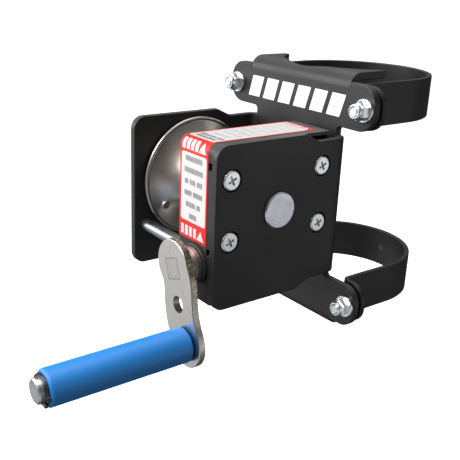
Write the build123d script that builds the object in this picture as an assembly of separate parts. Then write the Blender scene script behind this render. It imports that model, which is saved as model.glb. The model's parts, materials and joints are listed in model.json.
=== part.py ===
from build123d import *
from math import acos, atan, cos, degrees, pi, radians, sin, tan
import os

# Post-mounted worm-gear net winch. Millimetres, +Z up.
# Origin: on the axis of the round pole that the winch clamps to, midway between its two bands.
# The crank is at the front (-Y), the pole at the back, and the drum turns about an X axis.

# --- Pole and bands ---
pole_radius = 44.45
band_inner_radius = 44.5
band_thickness = 3.2
band_height = 25.2
band_bend_radius = 2.5
band_gap = 2.0
band_level = 58.8
band_round = 0.5
ear_half_length = 63.4
ear_corner_radius = 11.0
rivet_radius = 2.2
rivet_angle = 90.0

# --- Bracket sheet ---
sheet = 4.5
bend_outer = 8.0
web_back = -44.5
web_front = web_back - sheet
plate_outer = 43.0
plate_inner = plate_outer - sheet
plate_front = web_front - 89.3
plate_half_height = 45.8
plate_corner_radius = 7.5
step_start = web_front - 29.0
step_end = web_front - 19.0
step_level = 41.0
neck_half_width = 36.1
ear_inner = 46.4
ear_outer = 72.4
neck_fillet = 2.4
lip_half_width = 43.7
lip_top = 77.4
lip_depth = 28.0
lip_cut_radius = pole_radius + 0.15
sheet_round = 0.6

# --- Clamp hardware, 1/4 inch ---
bolt_x = 56.15
bolt_radius = 3.175
bolt_hole_radius = 3.5
bolt_thread_clearance = 0.05
bolt_end = web_front - 9.0
bolt_end_chamfer = 0.8
bolt_head_radius = 5.4
bolt_head_height = 1.4
washer_radius = 6.6
washer_thickness = 1.5
washer_clearance = 0.2
nut_flats = 9.5
nut_hex_height = 5.0
nut_collar_radius = 4.3
nut_collar_height = 2.2
nut_collar_round = 0.8

# --- Drum line ---
drum_y = web_front - 46.5
drum_z = 5.9
shaft_radius = 10.4
journal_radius = 8.0
running = 0.05
shaft_right_end = plate_outer + 2.0
shaft_left_end = -plate_outer - 4.6
shaft_shoulder = -plate_inner + 1.3
rim_radius = 37.2
rim_bead_radius = 1.3
rim_plane = -36.3
hub_radius = 17.0
hub_end = 6.4
flare_radius = 28.0
dish_edge = 1.6
dish_recess = 2.6
dish_recess_radius = 27.0
inner_flange_radius = 35.0
inner_flange_thickness = 2.0
inner_flare_radius = 8.0
drum_pin_x = -8.0
drum_pin_radius = 2.5
anchor_radius_on_dish = 29.2
anchor_radius = 1.6
anchor_head_radius = 2.6
anchor_seat = -31.6
anchor_angle = 207.7

# --- Worm set: single-start worm and 20-tooth wheel, module 2 ---
module_size = 2.0
wheel_teeth = 20
worm_pitch_radius = 9.4
tooth_thickness = 2.75
pressure_angle = 20.0
wheel_low = 17.5
wheel_high = 30.5
worm_x = 0.5 * (wheel_low + wheel_high)
wheel_pitch_radius = 0.5 * module_size * wheel_teeth
worm_z = drum_z - wheel_pitch_radius - worm_pitch_radius
axial_pitch = pi * module_size
lead_angle = degrees(atan(axial_pitch / (2 * pi * worm_pitch_radius)))
addendum = module_size
dedendum = 1.25 * module_size
worm_half_length = 13.5
thread_half_root = 0.5 * tooth_thickness + dedendum * tan(radians(pressure_angle))
thread_length = 2 * (worm_half_length - thread_half_root)
# Turns the thread so that a gap of the worm faces the wheel's lowest tooth.
worm_phase = 360 * (0.75 - 0.5 * thread_length / axial_pitch)
worm_rear_journal = 6.0
worm_front_journal = 8.2
key_width = 5.0

# --- Gear housing ---
housing_sheet = 2.0
housing_left = 7.5
housing_right = plate_inner
housing_front = web_front - 87.9
housing_rear = web_front - 7.5
housing_top = plate_half_height - 0.7
housing_bottom = -43.5
housing_top_bend = 5.5
housing_side_bend = 1.6
notch_width = 4.4
notch_height = 4.4
screw_centre_y = web_front - 47.5
screw_centre_z = drum_z + 4.0
screw_half_y = 31.8
screw_half_z = 16.9
notch_half_spacing = 23.4
screw_head_radius = 5.5
screw_seat_radius = 6.4
screw_seat_depth = 2.4
screw_head_height = 2.8
screw_head_round = 1.0
screw_shank_radius = 3.0
screw_reach = 10.0
recess_length = 5.6
recess_width = 1.3
recess_depth = 1.7
recess_turn = 25.0
post_radius = 5.0

# --- Label ---
label_thickness = 0.2
label_left = 8.2
label_right = 33.6
label_bottom = -11.0
label_rear = web_front - 14.0

# --- Bushes, collar, crank ---
front_bush_radius = 10.2
front_bush_flange_radius = 11.4
front_bush_flange = 1.7
collar_radius = 10.0
collar_neck_radius = 9.0
collar_front_radius = 9.7
arm_back = web_front - 98.2
arm_thickness = 4.2
arm_front = arm_back - arm_thickness
arm_lean = 18.9
arm_top_rise = 2.0
arm_top_half_width = 14.2
arm_bottom_half_width = 13.4
# Distance down the arm from the crank shaft, and how far its middle line sways to +X there.
arm_sway = ((5.0, 1.4), (16.0, 0.0), (26.0, -1.6), (34.0, -1.2))
arm_edge_round = 0.5
square_side = 11.2
square_clearance = 0.25
spare_hole_distance = 19.8
spare_hole_sway = -0.8
spare_hole_radius = 4.8
pin_distance = 41.6
pin_radius = 6.7
pin_rivet_radius = 5.0
pin_end = web_front - 188.6
grip_inner_end = arm_front - 0.5
grip_length = 81.0
grip_radius = 9.85
grip_bore_radius = pin_radius + 0.08
grip_end_round = 1.8
ring_thickness = 1.2

# --- Tie rod ---
tie_rod_y = web_front - 81.3
tie_rod_z = drum_z - 26.9
tie_rod_radius = 4.0
tie_screw_radius = 2.5
tie_screw_head_radius = 4.6


def cyl_x(radius, x_low, x_high, y, z):
    """Round bar along X."""
    middle = 0.5 * (x_low + x_high)
    return Pos(middle, y, z) * Rot(0, 90, 0) * Cylinder(radius, x_high - x_low)


def cyl_y(radius, y_low, y_high, x, z):
    """Round bar along Y."""
    middle = 0.5 * (y_low + y_high)
    return Pos(x, middle, z) * Rot(90, 0, 0) * Cylinder(radius, y_high - y_low)


def block(x_low, x_high, y_low, y_high, z_low, z_high):
    """Rectangular block between two corners."""
    centre = Pos(0.5 * (x_low + x_high), 0.5 * (y_low + y_high), 0.5 * (z_low + z_high))
    return centre * Box(x_high - x_low, y_high - y_low, z_high - z_low)


def plan_plane(level):
    """Sketch plane seen from above: sketch x is X and sketch y is Y."""
    return Plane(origin=(0, 0, level), x_dir=(1, 0, 0), z_dir=(0, 0, 1))


def front_plane(depth):
    """Sketch plane facing the crank side: sketch x is X and sketch y is Z."""
    return Plane(origin=(0, depth, 0), x_dir=(1, 0, 0), z_dir=(0, -1, 0))


def side_plane(offset):
    """Sketch plane facing +X: sketch x is Y and sketch y is Z."""
    return Plane(origin=(offset, 0, 0), x_dir=(0, 1, 0), z_dir=(1, 0, 0))


def edges_on(solid, axis, offsets):
    """Edges that lie in the planes across an axis at the given offsets."""
    found = []
    for edge in solid.edges():
        box = edge.bounding_box()
        low = getattr(box.min, axis)
        high = getattr(box.max, axis)
        if high - low < 0.01 and any(abs(low - offset) < 0.01 for offset in offsets):
            found.append(edge)
    return found


# ---------------------------------------------------------------- bracket
def flange_outline():
    """Side view of a flange: rounded front corners, stepped down next to the web."""
    points = [
        (plate_front, -plate_half_height),
        (step_start, -plate_half_height),
        (step_end, -step_level),
        (web_back, -step_level),
        (web_back, step_level),
        (step_end, step_level),
        (step_start, plate_half_height),
        (plate_front, plate_half_height),
    ]
    face = make_face(Polyline(*points, close=True))
    corners = face.vertices().sort_by(Axis.X)[:2]
    return fillet(corners, plate_corner_radius)


def channel():
    """Web middle and both flanges, bent from one sheet."""
    outer = block(
        -plate_outer, plate_outer, plate_front, web_back, -plate_half_height, plate_half_height
    )
    inner = block(
        -plate_inner, plate_inner, plate_front - 1, web_front, -plate_half_height, plate_half_height
    )
    outer = fillet(outer.edges().filter_by(Axis.Z).group_by(Axis.Y)[-1], bend_outer)
    inner = fillet(inner.edges().filter_by(Axis.Z).group_by(Axis.Y)[-1], bend_outer - sheet)
    outline = extrude(side_plane(-plate_outer) * flange_outline(), 2 * plate_outer)
    solid = (outer - inner) & outline
    for side in (plate_outer, plate_inner):
        rims = [e for e in edges_on(solid, "X", (-side, side)) if e.center().Y < web_front - bend_outer]
        solid = fillet(rims, sheet_round)
    return solid


def web_outline():
    """Front view of the web: neck, two wide ears with rounded ends."""
    neck = Rectangle(2 * neck_half_width, 2 * (ear_inner + 4))
    centre = 0.5 * (ear_inner + ear_outer)
    ear = RectangleRounded(2 * ear_half_length, ear_outer - ear_inner, ear_corner_radius)
    outline = neck + Pos(0, centre) * ear + Pos(0, -centre) * ear
    inside = [v for v in outline.vertices() if abs(abs(v.X) - neck_half_width) < 0.01]
    return fillet(inside, neck_fillet)


def lip():
    """Upper edge of the web bent back over the pole, cut to the pole's curve."""
    bend_start = lip_top - bend_outer
    inner_radius = bend_outer - sheet
    centre = (web_front + bend_outer, bend_start)
    with_bend = Pos(*centre) * (Circle(bend_outer) - Circle(inner_radius))
    half_bend = 0.5 * bend_outer
    quarter = Pos(web_front + half_bend, bend_start + half_bend) * Rectangle(bend_outer, bend_outer)
    flat_low = (web_front + bend_outer, lip_top - sheet)
    flat_size = (lip_depth - bend_outer, sheet)
    flat = Pos(flat_low[0] + 0.5 * flat_size[0], flat_low[1] + 0.5 * flat_size[1]) * Rectangle(*flat_size)
    section = (with_bend & quarter) + flat
    solid = extrude(side_plane(-lip_half_width) * section, 2 * lip_half_width)
    solid -= Cylinder(lip_cut_radius, 4 * lip_top)
    rims = [e for e in solid.edges() if e.center().Y > web_front + bend_outer + 0.2]
    return fillet(rims, sheet_round)


def bracket_holes():
    """Bolt, shaft, screw and tie-rod holes through the bracket."""
    cuts = []
    for x in (-bolt_x, bolt_x):
        for z in (-band_level, band_level):
            cuts.append(cyl_y(bolt_hole_radius, web_front - 1, web_back + 1, x, z))
    cuts.append(cyl_x(shaft_radius + running, plate_inner - 1, plate_outer + 1, drum_y, drum_z))
    cuts.append(cyl_x(journal_radius + 2.0, -plate_outer - 1, -plate_inner + 1, drum_y, drum_z))
    cuts.append(cyl_x(tie_screw_radius + 0.2, -plate_outer - 1, -plate_inner + 1, tie_rod_y, tie_rod_z))
    for y, z in screw_places():
        cuts.append(cyl_x(screw_shank_radius + 0.2, plate_inner - 1, plate_outer + 1, y, z))
        cuts.append(cyl_x(screw_seat_radius, plate_outer - screw_seat_depth, plate_outer + 1, y, z))
    return cuts


def make_bracket():
    """Formed sheet-steel frame: web, two flanges, ears and lips in one piece."""
    web = extrude(front_plane(web_front) * web_outline(), -sheet)
    web = fillet(edges_on(web, "Y", (web_front, web_back)), sheet_round)
    bend_start = lip_top - bend_outer
    for z_low, z_high in ((bend_start, lip_top), (-lip_top, -bend_start)):
        web -= block(-lip_half_width, lip_half_width, web_front - 1, web_back + 1, z_low, z_high)
    upper_lip = lip()
    solid = channel() + web + upper_lip + mirror(upper_lip, Plane.XY)
    for cut in bracket_holes():
        solid -= cut
    return solid


def screw_places():
    """Y and Z of the four screws in the gear-side flange."""
    return [
        (screw_centre_y + sy * screw_half_y, screw_centre_z + sz * screw_half_z)
        for sy in (-1, 1)
        for sz in (-1, 1)
    ]


# ---------------------------------------------------------------- bands and their hardware
def make_band(level):
    """Strap round the back of the pole, with straight legs and outward ears."""
    ear_front = web_back + band_gap
    ear_back = ear_front + band_thickness
    outer_radius = band_inner_radius + band_thickness
    half_ring = Circle(outer_radius) - Circle(band_inner_radius)
    half_ring &= Pos(0, outer_radius) * Rectangle(4 * outer_radius, 2 * outer_radius)
    section = half_ring
    bend_outer_radius = band_bend_radius + band_thickness
    for side in (-1, 1):
        corner_x = outer_radius + band_bend_radius
        corner_y = ear_back + band_bend_radius
        leg_middle = side * (band_inner_radius + 0.5 * band_thickness)
        section += Pos(leg_middle, 0.5 * corner_y) * Rectangle(band_thickness, -corner_y)
        bend = Pos(side * corner_x, corner_y) * (Circle(bend_outer_radius) - Circle(band_bend_radius))
        window = Rectangle(bend_outer_radius, bend_outer_radius)
        bend &= Pos(side * (corner_x - 0.5 * bend_outer_radius), corner_y - 0.5 * bend_outer_radius) * window
        section += bend
        flat_length = ear_half_length - corner_x
        flat = Rectangle(flat_length, band_thickness)
        section += Pos(side * (corner_x + 0.5 * flat_length), 0.5 * (ear_front + ear_back)) * flat
    solid = extrude(plan_plane(level - 0.5 * band_height) * section, band_height)
    ear_edges = solid.edges().filter_by(Axis.Y)
    ends = [e for e in ear_edges if abs(e.center().X) > ear_half_length - 0.01]
    solid = fillet(ends, ear_corner_radius)
    faces = (level - 0.5 * band_height, level + 0.5 * band_height)
    solid = fillet(edges_on(solid, "Z", faces), band_round)
    for side in (-1, 1):
        solid -= cyl_y(bolt_radius + 0.1, ear_front - 1, ear_back + 1, side * bolt_x, level)
    return solid - rivet_body(level, rivet_radius)


def rivet_body(level, radius):
    """Straight bar on the rivet's axis, radial to the pole."""
    bar = cyl_x(radius, band_inner_radius - 0.5, band_inner_radius + band_thickness + 0.5, 0, level)
    return Rot(0, 0, rivet_angle) * bar


def make_rivet(level):
    """Rivet in the band: flush inside, low domed head outside."""
    outer_radius = band_inner_radius + band_thickness
    shank = cyl_x(rivet_radius, band_inner_radius + 0.25, outer_radius, 0, level)
    head = cyl_x(rivet_radius + 1.4, outer_radius + 0.15, outer_radius + 1.8, 0, level)
    head = fillet(head.edges().group_by(Axis.X)[-1], 1.1)
    neck = cyl_x(rivet_radius, outer_radius - 0.5, outer_radius + 0.5, 0, level)
    return Rot(0, 0, rivet_angle) * (shank + neck + head)


def hexagon(flats):
    """Regular hexagon with flats parallel to its sketch y axis."""
    return RegularPolygon(radius=0.5 * flats, side_count=6, major_radius=False, rotation=30)


def make_bolts(level):
    """Two low-headed bolts through a band's ears, pointing to the front."""
    head_face = web_back + band_gap + band_thickness
    bolts = []
    for x in (-bolt_x, bolt_x):
        head = cyl_y(bolt_head_radius, head_face, head_face + bolt_head_height, x, level)
        head = fillet(head.edges().group_by(Axis.Y)[-1], 0.5 * bolt_head_height)
        shank = cyl_y(bolt_radius, bolt_end, head_face + 0.5 * bolt_head_height, x, level)
        shank = chamfer(shank.edges().group_by(Axis.Y)[0], bolt_end_chamfer)
        bolts.append(head + shank)
    return Compound(children=bolts)


def make_clamp_washers():
    """Four flat washers on the front of the bracket's ears."""
    washers = []
    for x in (-bolt_x, bolt_x):
        for z in (-band_level, band_level):
            ring = cyl_y(washer_radius, web_front - washer_thickness, web_front, x, z)
            ring = chamfer(ring.edges().group_by(Axis.Y)[0], 0.3)
            washers.append(ring - cyl_y(bolt_radius + washer_clearance, web_front - 3, web_front + 1, x, z))
    return Compound(children=washers)


def make_clamp_nuts():
    """Four lock nuts: a hex part and a rounded collar round the bolt's end."""
    nuts = []
    seat = web_front - washer_thickness
    hex_end = seat - nut_hex_height
    for x in (-bolt_x, bolt_x):
        for z in (-band_level, band_level):
            body = extrude(front_plane(seat) * (Pos(x, z) * hexagon(nut_flats)), nut_hex_height)
            body = chamfer(body.faces().sort_by(Axis.Y)[0].edges(), 0.6)
            collar = cyl_y(nut_collar_radius, hex_end - nut_collar_height, hex_end + 0.5, x, z)
            collar = fillet(collar.edges().group_by(Axis.Y)[0], nut_collar_round)
            bore = cyl_y(bolt_radius + bolt_thread_clearance, hex_end - 4, seat + 1, x, z)
            nuts.append(body + collar - bore)
    return Compound(children=nuts)


# ---------------------------------------------------------------- gear housing
def make_housing():
    """Folded sheet box behind the gear-side flange, open towards that flange."""
    outer = block(housing_left, housing_right, housing_front, housing_rear, housing_bottom, housing_top)
    front_top = outer.edges().filter_by(Axis.X).group_by(Axis.Y)[0].sort_by(Axis.Z)[-1]
    outer = fillet(front_top, housing_top_bend)
    left_face = outer.faces().sort_by(Axis.X)[0]
    outer = fillet(left_face.edges(), housing_side_bend)
    inner = block(
        housing_left + housing_sheet,
        housing_right + 1,
        housing_front + housing_sheet,
        housing_rear - housing_sheet,
        housing_bottom + housing_sheet,
        housing_top - housing_sheet,
    )
    inner_top = inner.edges().filter_by(Axis.X).group_by(Axis.Y)[0].sort_by(Axis.Z)[-1]
    inner = fillet(inner_top, housing_top_bend - housing_sheet)
    solid = outer - inner
    for z in (screw_centre_z - notch_half_spacing, screw_centre_z + notch_half_spacing):
        solid -= block(
            housing_right - notch_width,
            housing_right + 1,
            housing_front - 1,
            housing_front + housing_sheet + 0.5,
            z - 0.5 * notch_height,
            z + 0.5 * notch_height,
        )
    wall_end = housing_left + housing_sheet
    solid -= cyl_x(shaft_radius + 2.2, housing_left - 1, wall_end + 1, drum_y, drum_z)
    solid -= cyl_x(tie_screw_radius + 0.2, housing_left - 1, wall_end + 1, tie_rod_y, tie_rod_z)
    solid -= cyl_y(front_bush_radius, housing_front - 1, housing_front + housing_sheet + 1, worm_x, worm_z)
    rear_bore = worm_rear_journal + 2.0
    solid -= cyl_y(rear_bore, housing_rear - housing_sheet - 1, housing_rear + 1, worm_x, worm_z)
    return solid


def make_posts():
    """Four tapped posts between the gear-side flange and the housing's inner wall."""
    posts = []
    for y, z in screw_places():
        post = cyl_x(post_radius, housing_left + housing_sheet, plate_inner, y, z)
        posts.append(post - cyl_x(screw_shank_radius, plate_inner - screw_reach - 2, plate_inner + 1, y, z))
    return Compound(children=posts)


def make_plate_screws():
    """Four cross-recess pan-head screws sunk in the gear-side flange."""
    screws = []
    seat = plate_outer - screw_seat_depth
    for y, z in screw_places():
        head = cyl_x(screw_head_radius, seat, seat + screw_head_height, y, z)
        head = fillet(head.edges().group_by(Axis.X)[-1], screw_head_round)
        shank = cyl_x(screw_shank_radius, plate_inner - screw_reach, seat + 0.5, y, z)
        screw = head + shank
        face = seat + screw_head_height
        for tilt in (recess_turn, recess_turn + 90):
            slot = Rot(tilt, 0, 0) * Box(2 * recess_depth, recess_length, recess_width)
            screw -= Pos(face, y, z) * slot
        screws.append(screw)
    return Compound(children=screws)


def make_label():
    """Thin sticker on the housing's front that wraps over its top."""
    outer = block(label_left, label_right, housing_front, label_rear, label_bottom, housing_top)
    bend_edge = outer.edges().filter_by(Axis.X).group_by(Axis.Y)[0].sort_by(Axis.Z)[-1]
    inner = fillet(bend_edge, housing_top_bend)
    grown = block(
        label_left,
        label_right,
        housing_front - label_thickness,
        label_rear,
        label_bottom,
        housing_top + label_thickness,
    )
    grown_edge = grown.edges().filter_by(Axis.X).group_by(Axis.Y)[0].sort_by(Axis.Z)[-1]
    skin = fillet(grown_edge, housing_top_bend + label_thickness)
    return skin - inner


# ---------------------------------------------------------------- tie rod
def make_tie_rod():
    """Spacer bar from the free flange to the housing's inner wall, tapped at both ends."""
    rod = cyl_x(tie_rod_radius, -plate_inner, housing_left, tie_rod_y, tie_rod_z)
    for x_low, x_high in ((-plate_inner - 1, -plate_inner + 9), (housing_left - 9, housing_left + 1)):
        rod -= cyl_x(tie_screw_radius, x_low, x_high, tie_rod_y, tie_rod_z)
    return rod


def make_tie_screws():
    """Pan-head screw into each end of the tie rod."""
    left_head = cyl_x(tie_screw_head_radius, -plate_outer - 2.6, -plate_outer, tie_rod_y, tie_rod_z)
    left_head = fillet(left_head.edges().group_by(Axis.X)[0], 1.0)
    left = left_head + cyl_x(tie_screw_radius, -plate_outer - 0.5, -plate_inner + 8, tie_rod_y, tie_rod_z)
    left -= Pos(-plate_outer - 2.6, tie_rod_y, tie_rod_z) * Box(2.4, 5.0, 1.1)
    left -= Pos(-plate_outer - 2.6, tie_rod_y, tie_rod_z) * Box(2.4, 1.1, 5.0)
    wall_end = housing_left + housing_sheet
    right_head = cyl_x(tie_screw_head_radius, wall_end, wall_end + 2.6, tie_rod_y, tie_rod_z)
    right = right_head + cyl_x(tie_screw_radius, housing_left - 8, wall_end + 0.5, tie_rod_y, tie_rod_z)
    return Compound(children=[left, right])


# ---------------------------------------------------------------- drum and its shaft
def flare_point(share):
    """Point (x, radius) on the outer flange's flare: share 0 is at the hub, 1 at the rim."""
    rim_x = rim_plane + dish_edge
    centre_radius = hub_radius + flare_radius
    full_turn = acos((centre_radius - (rim_radius - rim_bead_radius)) / flare_radius)
    centre_x = rim_x + flare_radius * sin(full_turn)
    turn = share * full_turn
    return (centre_x - flare_radius * sin(turn), centre_radius - flare_radius * cos(turn))


def make_drum():
    """Turned drum: dished outer flange with a rolled rim, flared hub, flat inner flange."""
    dish_back = -plate_inner + 1.3
    start = flare_point(1.0)
    recess = (rim_plane + dish_recess, dish_recess_radius)
    inner_start = (hub_end - inner_flange_thickness - inner_flare_radius, hub_radius)
    inner_middle = (
        inner_start[0] + inner_flare_radius * sin(pi / 4),
        hub_radius + inner_flare_radius * (1 - cos(pi / 4)),
    )
    inner_top = (hub_end - inner_flange_thickness, hub_radius + inner_flare_radius)
    outline = [
        Line((dish_back, shaft_radius), (dish_back, hub_radius - 2)),
        Line((dish_back, hub_radius - 2), recess),
        Line(recess, (rim_plane, start[1])),
        Line((rim_plane, start[1]), start),
        ThreePointArc(start, flare_point(0.5), flare_point(0.0)),
        Line(flare_point(0.0), inner_start),
        ThreePointArc(inner_start, inner_middle, inner_top),
        Line(inner_top, (inner_top[0], inner_flange_radius)),
        Line((inner_top[0], inner_flange_radius), (hub_end, inner_flange_radius)),
        Line((hub_end, inner_flange_radius), (hub_end, shaft_radius)),
        Line((hub_end, shaft_radius), (dish_back, shaft_radius)),
    ]
    section = make_face(outline)
    bead_centre = (rim_plane + 0.8, rim_radius - rim_bead_radius)
    section += Pos(*bead_centre) * Circle(rim_bead_radius)
    turned = revolve(Plane.XY * section, Axis.X, 360)
    solid = Pos(0, drum_y, drum_z) * turned
    pin_hole = Pos(drum_pin_x, drum_y, drum_z) * Cylinder(drum_pin_radius, 2 * hub_radius + 2)
    anchor_y, anchor_z = anchor_place()
    solid -= cyl_x(anchor_radius, rim_plane - 2, anchor_seat + 1, anchor_y, anchor_z)
    solid -= cyl_x(anchor_head_radius, anchor_seat, anchor_seat + 6, anchor_y, anchor_z)
    return solid - pin_hole


def anchor_place():
    """Y and Z of the rope anchor screw on the outer flange."""
    turn = radians(anchor_angle)
    return (
        drum_y + anchor_radius_on_dish * cos(turn),
        drum_z + anchor_radius_on_dish * sin(turn),
    )


def make_anchor_screw():
    """Small screw through the outer flange that holds the rope's end."""
    y, z = anchor_place()
    head = cyl_x(anchor_head_radius, anchor_seat, anchor_seat + 2.2, y, z)
    head = fillet(head.edges().group_by(Axis.X)[-1], 0.8)
    return head + cyl_x(anchor_radius, rim_plane + 1.0, anchor_seat + 0.5, y, z)


def make_drum_shaft():
    """Shaft from flange to flange, stepped down for the free flange's bush."""
    bar = cyl_x(shaft_radius, shaft_shoulder, shaft_right_end, drum_y, drum_z)
    bar = chamfer(bar.edges().group_by(Axis.X)[-1], 0.7)
    journal = cyl_x(journal_radius, shaft_left_end, shaft_shoulder + 1, drum_y, drum_z)
    journal = chamfer(journal.edges().group_by(Axis.X)[0], 0.6)
    shaft = bar + journal
    ring_low = -plate_outer - 1.2 - ring_thickness - 0.1
    groove = cyl_x(journal_radius + 1, ring_low, ring_low + ring_thickness + 0.1, drum_y, drum_z)
    groove -= cyl_x(journal_radius - 0.8, ring_low - 1, ring_low + 3, drum_y, drum_z)
    shaft -= groove
    shaft -= Pos(drum_pin_x, drum_y, drum_z) * Cylinder(drum_pin_radius, 2 * hub_radius + 2)
    return shaft - key_block()


def make_drum_pin():
    """Spring pin across the drum's hub and shaft."""
    length = 2 * hub_radius - 1.5
    pin = Cylinder(drum_pin_radius, length) - Cylinder(drum_pin_radius - 1.0, length + 1)
    return Pos(drum_pin_x, drum_y, drum_z) * pin


def key_block():
    """Space of the parallel key, half in the shaft and half in the wheel."""
    top = drum_z + shaft_radius + 0.4 * key_width
    half = 0.5 * key_width
    return block(wheel_low, wheel_high, drum_y - half, drum_y + half, top - key_width, top)


def retaining_ring(inner_radius, outer_radius, thickness):
    """Open spring ring with two eyes at its gap, in its own XY plane."""
    ring = Cylinder(outer_radius, thickness) - Cylinder(inner_radius, thickness + 1)
    gap_half_angle = 12.0
    reach = 0.5 * (inner_radius + outer_radius)
    ring -= Pos(outer_radius, 0, 0) * Box(2 * outer_radius, 2.4, thickness + 1)
    for side in (-1, 1):
        eye = Cylinder(1.6, thickness) - Cylinder(0.7, thickness + 1)
        turn = side * gap_half_angle * 10.0 / outer_radius
        ring += Rot(0, 0, turn * 1.7) * Pos(reach + 0.7, 0, 0) * eye
    return ring - Cylinder(inner_radius, thickness + 1)


def make_shaft_ring():
    """Retaining ring on the drum shaft, outside the free flange."""
    middle = -plate_outer - 1.2 - 0.5 * ring_thickness - 0.05
    ring = retaining_ring(journal_radius - 0.7, journal_radius + 2.2, ring_thickness)
    return Pos(middle, drum_y, drum_z) * Rot(0, -90, 0) * Rot(0, 0, 90) * ring


def make_shaft_washer():
    """Washer between the free flange and the retaining ring."""
    low = -plate_outer - 1.1
    disc = cyl_x(journal_radius + 4, low, low + 0.9, drum_y, drum_z)
    return disc - cyl_x(journal_radius, low - 1, low + 2, drum_y, drum_z)


def involute_point(base_radius, radius, base_half_angle):
    """Point of a tooth's flank at a radius, tooth centred on the sketch x axis."""
    roll = acos(base_radius / radius)
    angle = base_half_angle - (tan(roll) - roll)
    return (radius * cos(angle), radius * sin(angle))


def tooth_outline(swing):
    """One involute tooth of the wheel in a plane across its axis."""
    base_radius = wheel_pitch_radius * cos(radians(pressure_angle))
    root_radius = wheel_pitch_radius - dedendum
    tip_radius = wheel_pitch_radius + addendum
    pitch_roll = radians(pressure_angle)
    base_half_angle = 0.5 * tooth_thickness / wheel_pitch_radius + tan(pitch_roll) - pitch_roll
    low = involute_point(base_radius, base_radius + 0.01, base_half_angle)
    middle = involute_point(base_radius, wheel_pitch_radius, base_half_angle)
    tip = involute_point(base_radius, tip_radius, base_half_angle)
    root = ((root_radius - 1) * cos(base_half_angle), (root_radius - 1) * sin(base_half_angle))
    mirrored = [(x, -y) for x, y in (root, low, middle, tip)]
    outline = [
        Line(root, low),
        ThreePointArc(low, middle, tip),
        Line(tip, mirrored[3]),
        ThreePointArc(mirrored[3], mirrored[2], mirrored[1]),
        Line(mirrored[1], mirrored[0]),
        Line(mirrored[0], root),
    ]
    return Rot(0, 0, swing) * make_face(outline)


def make_worm_wheel():
    """Bronze worm wheel whose teeth lean by the worm's lead angle."""
    width = wheel_high - wheel_low
    half_twist = degrees(0.5 * width * tan(radians(lead_angle)) / wheel_pitch_radius)
    blank = Cylinder(wheel_pitch_radius - dedendum, width)
    ends = [
        Pos(0, 0, -0.5 * width) * tooth_outline(-half_twist),
        Pos(0, 0, 0.5 * width) * tooth_outline(half_twist),
    ]
    tooth = loft(ends, ruled=True)
    wheel = blank
    for index in range(wheel_teeth):
        wheel += Rot(0, 0, index * 360.0 / wheel_teeth) * tooth
    placed = Pos(worm_x, drum_y, drum_z) * Rot(0, 90, 0) * wheel
    placed -= cyl_x(shaft_radius, wheel_low - 1, wheel_high + 1, drum_y, drum_z)
    return placed - key_block()


def make_shaft_spacers():
    """Two plain tubes that hold the wheel in place along the shaft."""
    spacers = []
    bush_flange_end = housing_left + housing_sheet + 1.5
    for x_low, x_high in ((bush_flange_end + 0.2, wheel_low), (wheel_high, plate_inner - 0.3)):
        tube = cyl_x(shaft_radius + 3.0, x_low, x_high, drum_y, drum_z)
        spacers.append(tube - cyl_x(shaft_radius, x_low - 1, x_high + 1, drum_y, drum_z))
    return Compound(children=spacers)


# ---------------------------------------------------------------- bushes
def make_free_side_bush():
    """Flanged bush for the drum shaft in the free flange."""
    outer = cyl_x(journal_radius + 2.0, -plate_outer, -plate_inner, drum_y, drum_z)
    flange = cyl_x(journal_radius + 4.5, -plate_inner, -plate_inner + 1.0, drum_y, drum_z)
    bore = cyl_x(journal_radius + running, -plate_outer - 1, -plate_inner + 3, drum_y, drum_z)
    return outer + flange - bore


def make_housing_bush():
    """Flanged bush for the drum shaft in the housing's inner wall."""
    wall_end = housing_left + housing_sheet
    outer = cyl_x(shaft_radius + 2.2, housing_left, wall_end, drum_y, drum_z)
    flange = cyl_x(shaft_radius + 4.4, wall_end, wall_end + 1.5, drum_y, drum_z)
    bore = cyl_x(shaft_radius + running, housing_left - 1, wall_end + 3, drum_y, drum_z)
    return outer + flange - bore


def make_worm_front_bush():
    """Black flanged bush round the crank shaft, in the housing's front."""
    sleeve = cyl_y(front_bush_radius, housing_front, housing_front + 10, worm_x, worm_z)
    flange = cyl_y(front_bush_flange_radius, housing_front - front_bush_flange, housing_front, worm_x, worm_z)
    flange = fillet(flange.edges().group_by(Axis.Y)[0], 0.6)
    bore = cyl_y(worm_front_journal + running, housing_front - 5, housing_front + 12, worm_x, worm_z)
    return sleeve + flange - bore


def make_worm_rear_bush():
    """Flanged bush round the rear end of the worm shaft."""
    wall_front = housing_rear - housing_sheet
    sleeve = cyl_y(worm_rear_journal + 2.0, wall_front, housing_rear, worm_x, worm_z)
    flange = cyl_y(worm_rear_journal + 4.0, wall_front - 4, wall_front, worm_x, worm_z)
    bore = cyl_y(worm_rear_journal + running, wall_front - 6, housing_rear + 1, worm_x, worm_z)
    return sleeve + flange - bore


# ---------------------------------------------------------------- worm shaft and crank
def worm_thread():
    """One right-hand helical thread on the worm's root cylinder, along its own Z axis."""
    root_radius = worm_pitch_radius - dedendum
    tip_radius = worm_pitch_radius + addendum
    slope = tan(radians(pressure_angle))
    half_pitch_line = 0.5 * tooth_thickness
    half_tip = half_pitch_line - addendum * slope
    sunk = 0.6
    path = Helix(axial_pitch, thread_length, root_radius, center=(0, 0, -0.5 * thread_length))
    section_plane = Plane(origin=path @ 0, x_dir=(1, 0, 0), z_dir=path % 0)
    points = [
        (-sunk, -thread_half_root - sunk * slope),
        (tip_radius - root_radius, -half_tip),
        (tip_radius - root_radius, half_tip),
        (-sunk, thread_half_root + sunk * slope),
    ]
    section = section_plane * make_face(Polyline(*points, close=True))
    return sweep(section, path=path, is_frenet=True)


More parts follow.
